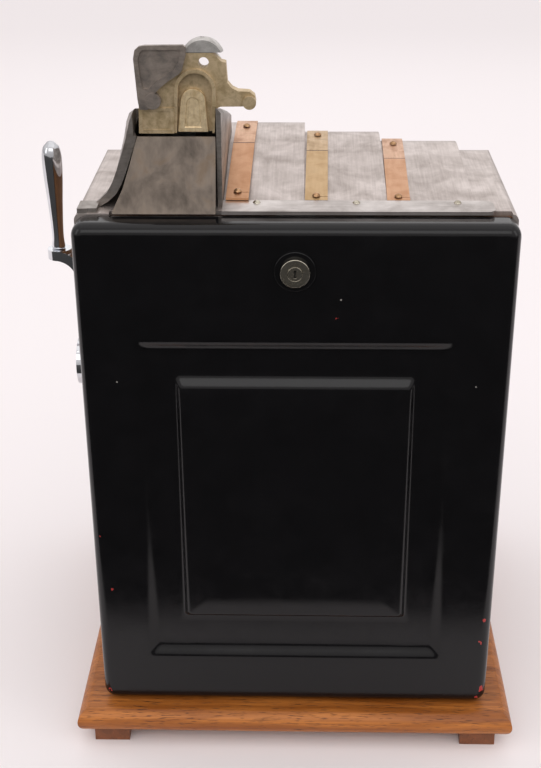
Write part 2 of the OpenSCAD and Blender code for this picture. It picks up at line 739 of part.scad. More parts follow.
// Reels: a rim on a spoked disc, a hub, and the notched star that its stop lever drops into
star_off = 25;
star_t = 3;
module reel(i) {
    x = reel_x[i];
    rim_t = 2;
    notch_r = 3.2;
    translate([x, reel_y, reel_z]) rotate([90, 0, 90]) difference() {
        union() {
            difference() {
                translate([0, 0, -reel_w / 2]) cylinder(h = reel_w, r = reel_r, $fn = 96);
                translate([0, 0, -reel_w / 2 - 1]) cylinder(h = reel_w + 2, r = reel_r - rim_t, $fn = 96);
            }
            translate([0, 0, reel_w / 2 - 6]) difference() {
                cylinder(h = 3, r = reel_r - rim_t + 0.5, $fn = 96);
                for (a = [0:60:300]) rotate(a) translate([54, 0, -1]) cylinder(h = 5, r = 18);
            }
            translate([0, 0, 2 - reel_w / 2])
                cylinder(h = star_off + star_t + reel_w / 2 - 2, r = reel_hub_r);
            translate([0, 0, star_off]) linear_extrude(star_t) difference() {
                circle(star_r);
                for (k = [0:star_teeth - 1])
                    rotate((k + 0.5) * 360 / star_teeth) translate([star_r, 0]) circle(notch_r, $fn = 16);
            }
        }
        translate([0, 0, -reel_w]) cylinder(h = 3 * reel_w, r = axle_r + run);
    }
}
module reel_1() {
    color("#e6dfcf") reel(0);
}
module reel_2() {
    color("#e6dfcf") reel(1);
}
module reel_3() {
    color("#e6dfcf") reel(2);
}

// Stop levers: bent arms on one rod, each with a nose that drops into a star notch
module stop_lever(i) {
    x = reel_x[i] + star_off;
    difference() {
        union() {
            across(x, x + star_t) {
                link_2d([stop_y, stop_z], from_reel(star_r + nose_away + nose_h), 9, 3);
                link_2d(from_reel(star_r + nose_away + nose_h), nose_pt, 3, 2.2);
                link_2d([stop_y, stop_z], [stop_y + 18, stop_z - 8], 9, 4);
            }
            rod_x(x - 1.5, x + star_t + 1.5, stop_y, stop_z, 7.5);
        }
        rod_x(x - 3, x + star_t + 3, stop_y, stop_z, rod_r + run);
    }
}
module stop_lever_1() {
    color("#9fa3a6") stop_lever(0);
}
module stop_lever_2() {
    color("#9fa3a6") stop_lever(1);
}
module stop_lever_3() {
    color("#9fa3a6") stop_lever(2);
}

// Coin path
module coin_chute() {
    wall = 1.5;
    color("#a9a9a6") difference() {
        union() {
            box(84, 120, 96, 104, 340, 574);
            box(84, 92, 60, 104, 300, 344);
            box(78, 126, 88, 112, 440, 444);
        }
        box(84 + wall, 120 - wall, 96 + wall, 104 - wall, 338, 576);
    }
}
module payout_tube() {
    tube_x = 105;
    tube_y = -84;
    tube_z = mech_z + 18;
    color("#b3a27c") difference() {
        union() {
            translate([tube_x, tube_y, tube_z]) cylinder(h = 150, r = 14);
            box(tube_x - 19, tube_x + 21, tube_y - 20, tube_y + 22, mech_z + 6, tube_z);
        }
        translate([tube_x, tube_y, tube_z - 6]) cylinder(h = 160, r = 12.4);
    }
}
module air_brake_fan() {
    z0 = mech_z + 30;
    spindle_r = 2.5;
    color("#b08d57") translate([fan_x, fan_y, 0]) {
        translate([0, 0, mech_z + 1]) cylinder(h = 49, r = spindle_r);
        translate([0, 0, mech_z + 6 + gap]) cylinder(h = 4, r = 5);
        for (a = [0, 180]) translate([0, 0, z0]) rotate(a) translate([1, -0.8, 0]) cube([22, 1.6, 16]);
    }
}
module cash_box() {
    wall = 2;
    x0 = 20;
    box_w = 130;
    box_rear = 106;
    color("#6c5a44") difference() {
        box(x0, x0 + box_w, -60, box_rear, deck_z + 12, deck_z + 72);
        box(x0 + wall, x0 + box_w - wall, -60 + wall, box_rear - wall, deck_z + 12 + wall, deck_z + 80);
    }
}

// Rear door: a pressed steel pan with a recessed border round a raised panel
module pan(grow, y1, edge) {
    w = half_w - grow;
    z0 = door_z0 + grow;
    z1 = door_z0 + door_h - grow;
    corner = door_corner - grow;
    hull() for (sx = [-1, 1], z = [z0 + corner, z1 - corner]) translate([sx * (w - corner), y1, z])
        rotate([90, 0, 0]) rotate_extrude($fn = 32) {
            square([corner - edge, edge + 0.01]);
            translate([0, edge]) square([corner, y1 - edge - door_lip_y + (grow > 0 ? 1 : 0)]);
            intersection() {
                translate([corner - edge, edge]) circle(edge, $fn = 32);
                square([corner, edge]);
            }
        }
}
module frustum(x0, x1, z0, z1, y0, x2, x3, z2, z3, y1) {
    polyhedron([[x0, y0, z0], [x1, y0, z0], [x1, y0, z1], [x0, y0, z1],
        [x2, y1, z2], [x3, y1, z2], [x3, y1, z3], [x2, y1, z3]],
        [[0, 1, 2, 3], [7, 6, 5, 4], [1, 0, 4, 5], [2, 1, 5, 6], [3, 2, 6, 7], [0, 3, 7, 4]]);
}
module pressed_border(sheet) {
    yf = door_y + 0.6;
    yd = door_y - press_d - sheet;
    s = sheet * 0.7;
    difference() {
        frustum(-136.5 - s, 136.5 + s, 90.5 - s, 415.5 + s, yf, -124 - s, 124 + s, 103 - s, 403 + s, yd);
        frustum(-95.4 + s, 95.4 - s, 139.6 + s, 369 - s, yf + eps,
            -103 + s, 103 - s, 134 + s, 381 - s, yd - eps);
    }
}
module back_door() {
    color("#161616") difference() {
        pan(0, door_y, door_edge_r);
        pressed_border(0);
        difference() {
            pan(door_sheet, door_y - door_sheet, door_edge_r - door_sheet);
            pressed_border(door_sheet);
        }
        rod_y(150, 190, 0, lock_z, cup_hole_r + 0.1);
        translate([157, 171, 500]) cylinder(h = 30, r = 2.2);
        for (x = hinge_x) box(x - 14, x + 14, 150, 178.3, deck_z, deck_z + 4.5);
    }
}

// Lower hinges: knuckles on the door, and pins in brackets on the bottom board
hinge_x = [-120, 120];
pin_y = hinge_y - 1.6;
pin_z = hinge_z + 1.6;
hinge_pin_r = 2.5;
knuckle_r = 4.8;
knuckle_w = 13;
module door_knuckles() {
    color("#3c3c3e") for (hx = hinge_x) difference() {
        for (x = [hx - 2 * knuckle_w, hx + knuckle_w]) {
            rod_x(x, x + knuckle_w, pin_y, pin_z, knuckle_r);
            box(x, x + knuckle_w, hinge_y + 1.2, door_y - door_sheet, hinge_z + 2, hinge_z + 30);
        }
        rod_x(hx - 30, hx + 30, pin_y, pin_z, hinge_pin_r + run);
    }
}
module door_hinges() {
    tongue_w = knuckle_w - 0.6;
    tongue_t = 2.4;
    color("#5a5a5c") for (x = hinge_x) {
        rod_x(x - 27, x + 27, pin_y, pin_z, hinge_pin_r);
        rod_x(x - tongue_w, x + tongue_w, pin_y, pin_z, knuckle_r);
        box(x - tongue_w, x + tongue_w, 150, pin_y, pin_z - tongue_t, pin_z + tongue_t);
        box(x - tongue_w, x + tongue_w, 110, 153, deck_z + 12, pin_z + tongue_t);
    }
}

// Lock: a cup and a barrel set in the door, and the plug that turns the cam
cup_hole_r = 11.5;
barrel_r = 10.2;
plug_r = 6;
cam_y = 151.6;
module lock_cup() {
    color("#0e0e0f") difference() {
        union() {
            rod_y(door_y, door_y + 2.6, 0, lock_z, 17);
            rod_y(door_y - 6, door_y + 1, 0, lock_z, cup_hole_r);
        }
        rod_y(door_y - 7, door_y + 4, 0, lock_z, barrel_r);
    }
}
module lock_barrel() {
    color("#c9c5b8") difference() {
        union() {
            rod_y(door_y - 16, door_y + 5, 0, lock_z, barrel_r);
            rod_y(door_y + 2.6, door_y + 7, 0, lock_z, 12);
            rod_y(door_y - 9, door_y - 6, 0, lock_z, 15);
        }
        rod_y(door_y - 17, door_y + 8, 0, lock_z, plug_r + run);
    }
}
module lock_plug() {
    color("#b8b29c") difference() {
        rod_y(cam_y - 1, door_y + 7.4, 0, lock_z, plug_r);
        box(-0.9, 0.9, door_y - 6, door_y + 8, lock_z - 3.6, lock_z + 3);
    }
}
module lock_cam() {
    color("#a6a49c") difference() {
        along_y(cam_y, cam_y + 2.4) link_2d([0, lock_z], [10.5, lock_z], 7.6, 5.5);
        rod_y(cam_y - 1, cam_y + 4, 0, lock_z, plug_r);
    }
}
module lock_keeper() {
    color("#6a6a6c") {
        box(-16, 16, 146, 160, top_z - skin_t - 3, top_z - skin_t);
        box(-16, 16, 157.4, 160, lock_z + 9.4, top_z - skin_t);
    }
}

base_board();
base_feet();
side_panel_right();
side_panel_left();
bottom_board();
top_rear_rail();
stepped_top();
upper_front();
lower_front();
rear_trim_strip();
trim_screws();
strap_1();
strap_2();
strap_3();
strap_screws();
gooseneck_housing();
chute_cover();
coin_head_body();
coin_head_cap();
coin_track_plate();
coin_head_cover();
reel_window_frame();
reel_glass();
coin_window_glass();
award_frame();
award_glass();
coin_cup();
return_knob();
handle_bush();
lock_keeper();
door_hinges();
back_door();
door_knuckles();
lock_cup();
lock_barrel();
lock_plug();
lock_cam();
handle_arm();
handle_grip();
handle_shaft();
handle_crank();
return_spring();
operating_link();
kicker();
mech_runners();
mech_base();
mech_side_right();
mech_side_left();
tie_rods();
reel_shaft();
reel_1();
reel_2();
reel_3();
stop_lever_1();
stop_lever_2();
stop_lever_3();
coin_chute();
payout_tube();
air_brake_fan();
cash_box();
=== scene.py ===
import json
import math

import bmesh
import bpy
import numpy as np
from mathutils import Matrix, Vector

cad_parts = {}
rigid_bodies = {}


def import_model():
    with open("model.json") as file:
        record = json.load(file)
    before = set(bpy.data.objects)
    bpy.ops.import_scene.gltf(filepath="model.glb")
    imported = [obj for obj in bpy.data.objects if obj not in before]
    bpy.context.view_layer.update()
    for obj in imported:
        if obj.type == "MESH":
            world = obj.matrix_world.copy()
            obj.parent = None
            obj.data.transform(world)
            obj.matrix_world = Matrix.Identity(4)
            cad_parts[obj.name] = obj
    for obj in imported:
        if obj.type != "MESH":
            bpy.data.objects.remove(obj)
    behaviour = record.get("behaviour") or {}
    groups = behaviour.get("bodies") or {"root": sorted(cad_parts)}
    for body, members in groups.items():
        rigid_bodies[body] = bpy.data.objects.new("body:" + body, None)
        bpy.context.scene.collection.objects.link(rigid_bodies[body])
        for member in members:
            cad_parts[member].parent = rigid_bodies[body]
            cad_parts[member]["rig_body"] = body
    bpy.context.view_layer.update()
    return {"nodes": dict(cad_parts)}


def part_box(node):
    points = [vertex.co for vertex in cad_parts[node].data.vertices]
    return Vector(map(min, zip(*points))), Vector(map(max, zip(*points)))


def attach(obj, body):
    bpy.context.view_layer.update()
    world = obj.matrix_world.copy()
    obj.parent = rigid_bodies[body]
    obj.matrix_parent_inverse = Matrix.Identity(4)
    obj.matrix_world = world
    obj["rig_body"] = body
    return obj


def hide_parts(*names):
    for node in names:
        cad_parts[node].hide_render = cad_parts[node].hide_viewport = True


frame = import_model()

MM = 0.001

# Camera
# It stands behind the machine and above it, where the rear door faces it and the top falls away from it.
camera_data = bpy.data.cameras.new("camera")
camera_data.lens = 61.74
camera_data.sensor_width = 36.0
camera_data.clip_start = 0.05
camera = bpy.data.objects.new("camera", camera_data)
bpy.context.scene.collection.objects.link(camera)
yaw, pitch, roll = (math.radians(a) for a in (1.685, 25.965, -0.405))
ahead = Vector((math.sin(yaw), -math.cos(yaw), 0))
side = Vector((-math.cos(yaw), -math.sin(yaw), 0))
view_dir = math.cos(pitch) * ahead - math.sin(pitch) * Vector((0, 0, 1))
view_up = math.sin(pitch) * ahead + math.cos(pitch) * Vector((0, 0, 1))
right = math.cos(roll) * side + math.sin(roll) * view_up
above = -math.sin(roll) * side + math.cos(roll) * view_up
turn = Matrix((right, above, -view_dir)).transposed().to_4x4()
stands_at = Vector((-8.83, 1175.07, 859.79)) * MM
camera.matrix_world = Matrix.Translation(stands_at) @ turn
bpy.context.scene.camera = camera


# Floor and light
# A sheet of pale matt paper in a white tent, under a wide overhead softbox, with four more softboxes round the
# machine. In reflections only, the paper darkens 33 to 40 cm behind the middle, as on a table in a dark room, so
# the enamel stays black.
def paint(code):
    """Linear colour from an sRGB hex code: the power curve above 0.04, and a straight line below it."""
    c = np.array([int(code[i:i + 2], 16) for i in (1, 3, 5)]) / 255
    c = np.where(c > 0.04045, ((c + 0.055) / 1.055) ** 2.4, c / 12.92)
    return (*(float(x) for x in c), 1.0)


def add(tree, kind, inputs=None, **settings):
    """Adds a node. settings are its own properties, and each input is a value or the socket it comes from."""
    made = tree.nodes.new(kind)
    for key, value in settings.items():
        setattr(made, key, value)
    for key, value in (inputs or {}).items():
        if isinstance(value, bpy.types.NodeSocket):
            tree.links.new(value, made.inputs[key])
        else:
            made.inputs[key].default_value = value
    return made


def new_finish(name, **shader_values):
    """A material with a Principled shader. Returns it, its node tree, its shader and the Object coordinates."""
    material = bpy.data.materials.new(name)
    material.use_nodes = True
    tree = material.node_tree
    tree.nodes.clear()
    shader = add(tree, "ShaderNodeBsdfPrincipled", shader_values)
    add(tree, "ShaderNodeOutputMaterial", {"Surface": shader.outputs[0]})
    place = add(tree, "ShaderNodeTexCoord").outputs["Object"]
    return material, tree, shader, place


def surface(name, points, wrap=True, keep=None):
    """A mesh on a grid of points, rows by columns: each face joins two neighbours in one row to the same two in
    the next. wrap joins the last column to the first, and keep is a mask of the faces that are made."""
    rows, columns = points.shape[:2]
    across = columns if wrap else columns - 1
    i, j = np.meshgrid(np.arange(rows - 1), np.arange(across), indexing="ij")
    k = (j + 1) % columns
    faces = np.stack([i * columns + j, i * columns + k, (i + 1) * columns + k, (i + 1) * columns + j], -1)
    faces = faces[keep] if keep is not None else faces.reshape(-1, 4)
    mesh = bpy.data.meshes.new(name)
    mesh.from_pydata(points.reshape(-1, 3), [], faces.tolist())
    piece = bpy.data.objects.new(name, mesh)
    bpy.context.scene.collection.objects.link(piece)
    return piece


floor_half = 7.0
corners = np.array([[[-1, -1, 0], [1, -1, 0]], [[-1, 1, 0], [1, 1, 0]]], float) * floor_half
floor = surface("paper_floor", corners, wrap=False)
paper, tree, shader, place = new_finish("matt_paper", Roughness=0.75)
axes = add(tree, "ShaderNodeSeparateXYZ", {0: place})
far = add(tree, "ShaderNodeMapRange", {0: axes.outputs[1], 1: 330 * MM, 2: 400 * MM},
          interpolation_type="SMOOTHSTEP")
seen = add(tree, "ShaderNodeLightPath").outputs["Is Camera Ray"]
unseen = add(tree, "ShaderNodeMath", {0: 1.0, 1: seen}, operation="SUBTRACT")
dull = add(tree, "ShaderNodeMath", {0: far.outputs[0], 1: unseen.outputs[0]}, operation="MULTIPLY")
tone = add(tree, "ShaderNodeMix", {0: dull.outputs[0], 6: paint("#f3eeef"), 7: paint("#121212")},
           data_type="RGBA")
tree.links.new(tone.outputs[2], shader.inputs["Base Color"])
floor.data.materials.append(paper)


def softbox(name, width, height, power, stand, faces):
    """A rectangular area light of that size in metres, which stands at one point and faces another."""
    data = bpy.data.lights.new(name, "AREA")
    data.shape = "RECTANGLE"
    data.size, data.size_y, data.energy = width, height, power
    lamp = bpy.data.objects.new(name, data)
    bpy.context.scene.collection.objects.link(lamp)
    lamp.location = stand
    lamp.rotation_euler = (Vector(faces) - Vector(stand)).to_track_quat("-Z", "Y").to_euler()


softbox("overhead_softbox", 2.4, 2.0, 4, (0.0, -0.15, 2.3), (0.0, 0.0, 0.3))
softbox("rear_softbox", 2.6, 1.2, 11, (0.0, 2.3, 1.9), (0.0, 0.0, 0.5))
softbox("left_softbox", 0.7, 1.4, 4, (2.0, 1.1, 1.3), (0.0, 0.0, 0.35))
softbox("right_softbox", 0.7, 1.4, 4, (-2.0, 1.1, 1.3), (0.0, 0.0, 0.35))
softbox("front_softbox", 2.2, 1.4, 4, (0.0, -2.6, 1.5), (0.0, 0.0, 0.3))

world = bpy.data.worlds.new("studio")
bpy.context.scene.world = world
world.use_nodes = True
tree = world.node_tree
tree.nodes.clear()
heading = add(tree, "ShaderNodeSeparateXYZ", {0: add(tree, "ShaderNodeTexCoord").outputs["Generated"]})
height = add(tree, "ShaderNodeMapRange", {0: heading.outputs[2], 1: 0.0, 2: 0.6, 3: 0.6, 4: 1.0})
seen = add(tree, "ShaderNodeLightPath").outputs["Is Camera Ray"]
level = add(tree, "ShaderNodeMix", {0: seen, 2: height.outputs[0], 3: 0.92})
glow = add(tree, "ShaderNodeBackground", {0: paint("#fffbfb"), 1: level.outputs[0]})
add(tree, "ShaderNodeOutputWorld", {0: glow.outputs[0]})
bpy.context.scene.view_settings.view_transform = "Standard"


# Base board and feet
# The base board is a golden oak plank, oiled and worn, with half-round edges. Four reddish oak blocks stand
# under it, and the stand bolts go up through them into the board.
def oak(name, pale, mid, dark, lengthwise, gloss=0.42):
    """Oiled oak. Broad streaks 9 mm wide and fine lines 1.4 mm wide run lengthwise, with open pores 0.8 mm wide,
    drawn a little coarser than real so that they show, and a few knots and scratches."""
    material, tree, shader, place = new_finish(name, **{"Roughness": gloss, "Specular IOR Level": 0.42})
    along = add(tree, "ShaderNodeMapping", {0: place, 2: lengthwise}).outputs[0]
    wide, fine, pore, nick = (
        add(tree, "ShaderNodeMapping", {0: along, 3: tuple(1 / (size * MM) for size in sizes)})
        for sizes in ((160, 9, 14), (70, 1.4, 1.4), (11, 0.8, 0.8), (50, 4, 4)))
    streaks = add(tree, "ShaderNodeTexNoise", {"Vector": wide.outputs[0], "Scale": 1.0, "Detail": 5.0,
                                               "Roughness": 0.62, "Distortion": 0.7})
    lines = add(tree, "ShaderNodeTexNoise", {"Vector": fine.outputs[0], "Scale": 1.0, "Detail": 3.0})
    pores = add(tree, "ShaderNodeTexNoise", {"Vector": pore.outputs[0], "Scale": 1.0, "Detail": 1.0})
    nicks = add(tree, "ShaderNodeTexNoise", {"Vector": nick.outputs[0], "Scale": 1.0, "Detail": 4.0})
    knots = add(tree, "ShaderNodeTexVoronoi", {"Vector": along, "Scale": 9.0, "Randomness": 1.0})
    broad = add(tree, "ShaderNodeMapRange", {0: streaks.outputs[0], 1: 0.36, 2: 0.66})
    narrow = add(tree, "ShaderNodeMapRange", {0: lines.outputs[0], 1: 0.35, 2: 0.7, 3: 0.0, 4: 0.6})
    open_pores = add(tree, "ShaderNodeMapRange", {0: pores.outputs[0], 1: 0.60, 2: 0.70, 3: 0.0, 4: 0.8})
    knot_core = add(tree, "ShaderNodeMapRange", {0: knots.outputs[0], 1: 0.11, 2: 0.03, 3: 0.0, 4: 0.75})
    worn = add(tree, "ShaderNodeMapRange", {0: nicks.outputs[0], 1: 0.66, 2: 0.72, 3: 0.0, 4: 0.55})
    base = add(tree, "ShaderNodeMix", {0: broad.outputs[0], 6: paint(mid), 7: paint(pale)}, data_type="RGBA")
    for share, colour in ((narrow, mid), (open_pores, dark), (worn, dark), (knot_core, dark)):
        base = add(tree, "ShaderNodeMix", {0: share.outputs[0], 6: base.outputs[2], 7: paint(colour)},
                   data_type="RGBA")
    tree.links.new(base.outputs[2], shader.inputs["Base Color"])
    dent = add(tree, "ShaderNodeBump", {"Height": open_pores.outputs[0], "Strength": 0.5, "Distance": 0.4 * MM},
               invert=True)
    tree.links.new(dent.outputs[0], shader.inputs["Normal"])
    return material


def eased(node, edge, finish, angle=32):
    """A copy of a CAD node that stands for it: doubled points merged, flat faces joined, and every edge sharper
    than the angle rounded over a width of edge millimetres. It rides on the node's own body."""
    source = frame["nodes"][node]
    mesh = source.data.copy()
    mesh.name = node + "_eased"
    mesh.attributes.remove(mesh.attributes["custom_normal"])
    work = bmesh.new()
    work.from_mesh(mesh)
    bmesh.ops.remove_doubles(work, verts=work.verts, dist=0.004 * MM)
    bmesh.ops.dissolve_limit(work, angle_limit=math.radians(0.5), verts=work.verts, edges=work.edges)
    for face in work.faces:
        face.smooth = True
    for line in work.edges:
        line.smooth = True
    work.to_mesh(mesh)
    work.free()
    piece = bpy.data.objects.new(node + "_eased", mesh)
    bpy.context.scene.collection.objects.link(piece)
    rounding = piece.modifiers.new("rounded_edges", "BEVEL")
    rounding.width = edge * MM
    rounding.segments = 2
    rounding.limit_method = "ANGLE"
    rounding.angle_limit = math.radians(angle)
    flats = piece.modifiers.new("flat_faces", "WEIGHTED_NORMAL")
    flats.weight = 50
    piece.data.materials.clear()
    piece.data.materials.append(finish)
    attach(piece, source["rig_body"])
    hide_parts(node)


def dressed(finish, *nodes):
    """Gives CAD nodes, whose shape is right as it is, their finish."""
    for node in nodes:
        for holder in frame["nodes"][node].material_slots:
            holder.material = finish


board_oak = oak("oiled_oak_board", "#c87c38", "#8f4f1b", "#3a1c0a", (0.0, 0.0, 0.0))
foot_oak = oak("oiled_oak_feet", "#8f5736", "#6d3f25", "#351c10", (0.0, 0.0, math.pi / 2))
eased("base_board", 0.8, board_oak)
eased("base_feet", 1.0, foot_oak)


# Oak sides, bottom board and rail
# The case is of oak boards glued and screwed together. Its sides are grained upright, and the others run from
# side to side. The castings lap over the edges of the sides.
panel_oak = oak("oiled_oak_sides", "#7d5530", "#5c3a1e", "#2f1b0d", (0.0, math.pi / 2, 0.0), gloss=0.5)
rail_oak = oak("oiled_oak_rails", "#8a5e34", "#664222", "#341e0f", (0.0, 0.0, 0.0), gloss=0.6)
eased("side_panel_right", 0.8, panel_oak)
eased("side_panel_left", 0.8, panel_oak)
dressed(rail_oak, "bottom_board", "top_rear_rail", "mech_runners")


# Castings: stepped top, upper front and lower front
# Three sand-cast aluminium shells, ground and hand polished, then dulled by age. Their skin keeps a fine grit,
# cloudy patches and polishing lines.
def worked_metal(name, pale, dark, rough, cloud, stroke, grit, depth, tarnish=None, metallic=1.0,
                 rear_tint_and_crease_shade=None):
    """Metal worked by hand. Cloudy patches are cloud mm wide, strokes from the file or brush have the three
    sizes in mm that stroke gives along X, Y and Z, and grit mm is the grain of its skin, depth mm deep.
    tarnish, a colour, stains it in the thickest of the clouds. rear_tint_and_crease_shade, a colour, tints it
    behind the bend 27 mm behind the middle, and a dark line 1.2 mm wide along the crease there is painted shade."""
    material, tree, shader, place = new_finish(name, **{"Metallic": metallic})
    brush = add(tree, "ShaderNodeMapping", {0: place, 3: tuple(1 / (s * MM) for s in stroke)})
    clouds = add(tree, "ShaderNodeTexNoise", {"Vector": place, "Scale": 1 / (cloud * MM), "Detail": 6.0,
                                              "Roughness": 0.62, "Distortion": 0.4})
    strokes = add(tree, "ShaderNodeTexNoise", {"Vector": brush.outputs[0], "Scale": 1.0, "Detail": 3.0,
                                               "Roughness": 0.55})
    grain = add(tree, "ShaderNodeTexNoise", {"Vector": place, "Scale": 1 / (grit * MM), "Detail": 2.0})
    faint = add(tree, "ShaderNodeMath", {0: strokes.outputs[0], 1: 0.35}, operation="MULTIPLY")
    both = add(tree, "ShaderNodeMath", {0: clouds.outputs[0], 1: faint.outputs[0]}, operation="ADD")
    light = add(tree, "ShaderNodeMapRange", {0: both.outputs[0], 1: 0.5, 2: 0.85})
    base = add(tree, "ShaderNodeMix", {0: light.outputs[0], 6: paint(dark), 7: paint(pale)}, data_type="RGBA")
    if tarnish:
        stained = add(tree, "ShaderNodeMapRange", {0: clouds.outputs[0], 1: 0.54, 2: 0.68, 3: 0.0, 4: 0.7})
        base = add(tree, "ShaderNodeMix", {0: stained.outputs[0], 6: base.outputs[2], 7: paint(tarnish)},
                   data_type="RGBA")
    if rear_tint_and_crease_shade:
        bend = 27 * MM
        back = add(tree, "ShaderNodeSeparateXYZ", {0: place}).outputs[1]
        behind = add(tree, "ShaderNodeMapRange", {0: back, 1: bend - MM, 2: bend + MM, 3: 0.0, 4: 0.6})
        # Painted shade: a dark line 1.2 mm wide along the crease of the bend.
        line = add(tree, "ShaderNodeMath", {0: back, 1: bend, 2: 0.6 * MM}, operation="COMPARE")
        for share, colour in ((behind, rear_tint_and_crease_shade), (line, "#3a2a20")):
            base = add(tree, "ShaderNodeMix", {0: share.outputs[0], 6: base.outputs[2], 7: paint(colour)},
                       data_type="RGBA")
    tree.links.new(base.outputs[2], shader.inputs["Base Color"])
    spread = add(tree, "ShaderNodeMapRange",
                 {0: both.outputs[0], 1: 0.5, 2: 0.85, 3: rough + 0.08, 4: rough - 0.06})
    tree.links.new(spread.outputs[0], shader.inputs["Roughness"])
    skin = add(tree, "ShaderNodeMath", {0: grain.outputs[0], 1: faint.outputs[0]}, operation="ADD")
    bump = add(tree, "ShaderNodeBump", {"Height": skin.outputs[0], "Strength": 0.35, "Distance": depth * MM})
    tree.links.new(bump.outputs[0], shader.inputs["Normal"])
    return material


aluminium = worked_metal("sand_cast_aluminium", "#cfc5c0", "#aaa09a", 0.44, 30, (1.6, 34, 34), 1.1, 0.12,
                         metallic=0.85)
for node, edge in (("stepped_top", 0.9), ("upper_front", 1.0), ("lower_front", 1.0), ("coin_cup", 0.7)):
    eased(node, edge, aluminium)


# Trim strip and its screws
# A strip of rolled aluminium that covers the joint behind the cascade, brushed lengthwise, its edges bright
# from handling. Three nickelled dome screws hold it.
trim = worked_metal("brushed_aluminium", "#cfc8c4", "#9c948f", 0.34, 40, (46, 0.9, 4), 0.9, 0.08)
nickel = worked_metal("nickel_plate", "#cfc9ba", "#a39c8c", 0.22, 7, (4, 4, 4), 0.8, 0.03)
eased("rear_trim_strip", 0.7, trim)
dressed(nickel, "trim_screws")


# Copper straps and their screws
# Flat straps of copper, bent over the ridge and worn pink and brown by hands. Each has a brass dome screw at
# both ends and a saw cut beside the rear one.
# Behind the bend the straps take a second tint, and a dark line of painted shade runs along the crease.
copper = worked_metal("worn_copper", "#ddb597", "#b68c6f", 0.38, 16, (3, 30, 30), 0.8, 0.05,
                      tarnish="#b08a68", metallic=0.85, rear_tint_and_crease_shade="#c08a5c")
olive_copper = worked_metal("tarnished_copper", "#d1b592", "#a98e6b", 0.4, 16, (3, 30, 30), 0.8, 0.05,
                            tarnish="#a18865", metallic=0.85, rear_tint_and_crease_shade="#c2a070")
screw_brass = worked_metal("screw_brass", "#c9a27c", "#8a6848", 0.26, 3, (2, 2, 2), 0.5, 0.03)
for node, metal in (("strap_1", copper), ("strap_2", olive_copper), ("strap_3", copper)):
    eased(node, 0.5, metal)
dressed(screw_brass, "strap_screws")


# Gooseneck and its cover plate
# The gooseneck is an aluminium casting that carries the coin head and leads coins down to the slide. A bent
# plate of blued steel, scratched and rust stained in patches, closes its rear.
goose_metal = worked_metal("gooseneck_aluminium", "#a8a19b", "#7c756f", 0.42, 16, (20, 20, 3), 1.0, 0.14,
                           metallic=0.85)
plate_steel = worked_metal("blued_steel", "#776c62", "#564e47", 0.4, 26, (6, 26, 14), 0.8, 0.05,
                           tarnish="#625344", metallic=0.8)
eased("gooseneck_housing", 0.8, goose_metal, angle=36)
eased("chute_cover", 0.4, plate_steel)


# Coin head
# A brass casting with an arched coin track, a pale track plate in the arch, a worn domed cap in front and a
# pressed zinc cover, which swings on its stud.
head_brass = worked_metal("aged_brass", "#e2cca8", "#ab9671", 0.5, 9, (5, 5, 5), 0.9, 0.14,
                          tarnish="#94805c", metallic=0.6)
track_brass = worked_metal("rubbed_brass", "#ffeac2", "#d2b88c", 0.45, 6, (1.2, 8, 8), 0.6, 0.06, metallic=0.6)
zinc = worked_metal("pressed_zinc", "#a5998f", "#6f6863", 0.46, 13, (9, 3, 3), 0.7, 0.05, metallic=0.65)
cap_chrome = worked_metal("worn_chrome", "#cfccc8", "#a3a09c", 0.42, 10, (6, 6, 6), 0.8, 0.03,
                          metallic=0.55)
eased("coin_head_body", 0.6, head_brass)
eased("coin_track_plate", 0.5, track_brass)
eased("coin_head_cap", 0.6, cap_chrome)
eased("coin_head_cover", 0.6, zinc)


# Front: windows, award card and knob
# Chromed frames hold clear window glass. Behind the lower one stands a card printed with plain dots, and the
# chromed return knob slides in a hole in the lower casting.
def plain_finish(name, colour, rough, metallic=0.0, cloud=20, depth=0.03, **more):
    """A smooth finish with faint cloudy marks cloud mm wide, which change its tone and roughness a little."""
    material, tree, shader, place = new_finish(name, **{"Metallic": metallic, **more})
    clouds = add(tree, "ShaderNodeTexNoise", {"Vector": place, "Scale": 1 / (cloud * MM), "Detail": 5.0})
    shade = tuple(0.72 * c for c in paint(colour)[:3]) + (1.0,)
    share = add(tree, "ShaderNodeMapRange", {0: clouds.outputs[0], 1: 0.3, 2: 0.7})
    base = add(tree, "ShaderNodeMix", {0: share.outputs[0], 6: shade, 7: paint(colour)}, data_type="RGBA")
    tree.links.new(base.outputs[2], shader.inputs["Base Color"])
    spread = add(tree, "ShaderNodeMapRange",
                 {0: clouds.outputs[0], 1: 0.3, 2: 0.7, 3: rough * 1.3, 4: rough * 0.8})
    tree.links.new(spread.outputs[0], shader.inputs["Roughness"])
    bump = add(tree, "ShaderNodeBump", {"Height": clouds.outputs[0], "Strength": 0.2, "Distance": depth * MM})
    tree.links.new(bump.outputs[0], shader.inputs["Normal"])
    return material


chrome = plain_finish("polished_chrome", "#e4e6ea", 0.07, metallic=1.0, cloud=30)
glass = plain_finish("window_glass", "#f2f7f5", 0.03, **{"Transmission Weight": 1.0, "IOR": 1.5})
for node in ("reel_window_frame", "award_frame", "return_knob"):
    eased(node, 0.8, chrome)
dressed(glass, "reel_glass", "coin_window_glass", "award_glass")

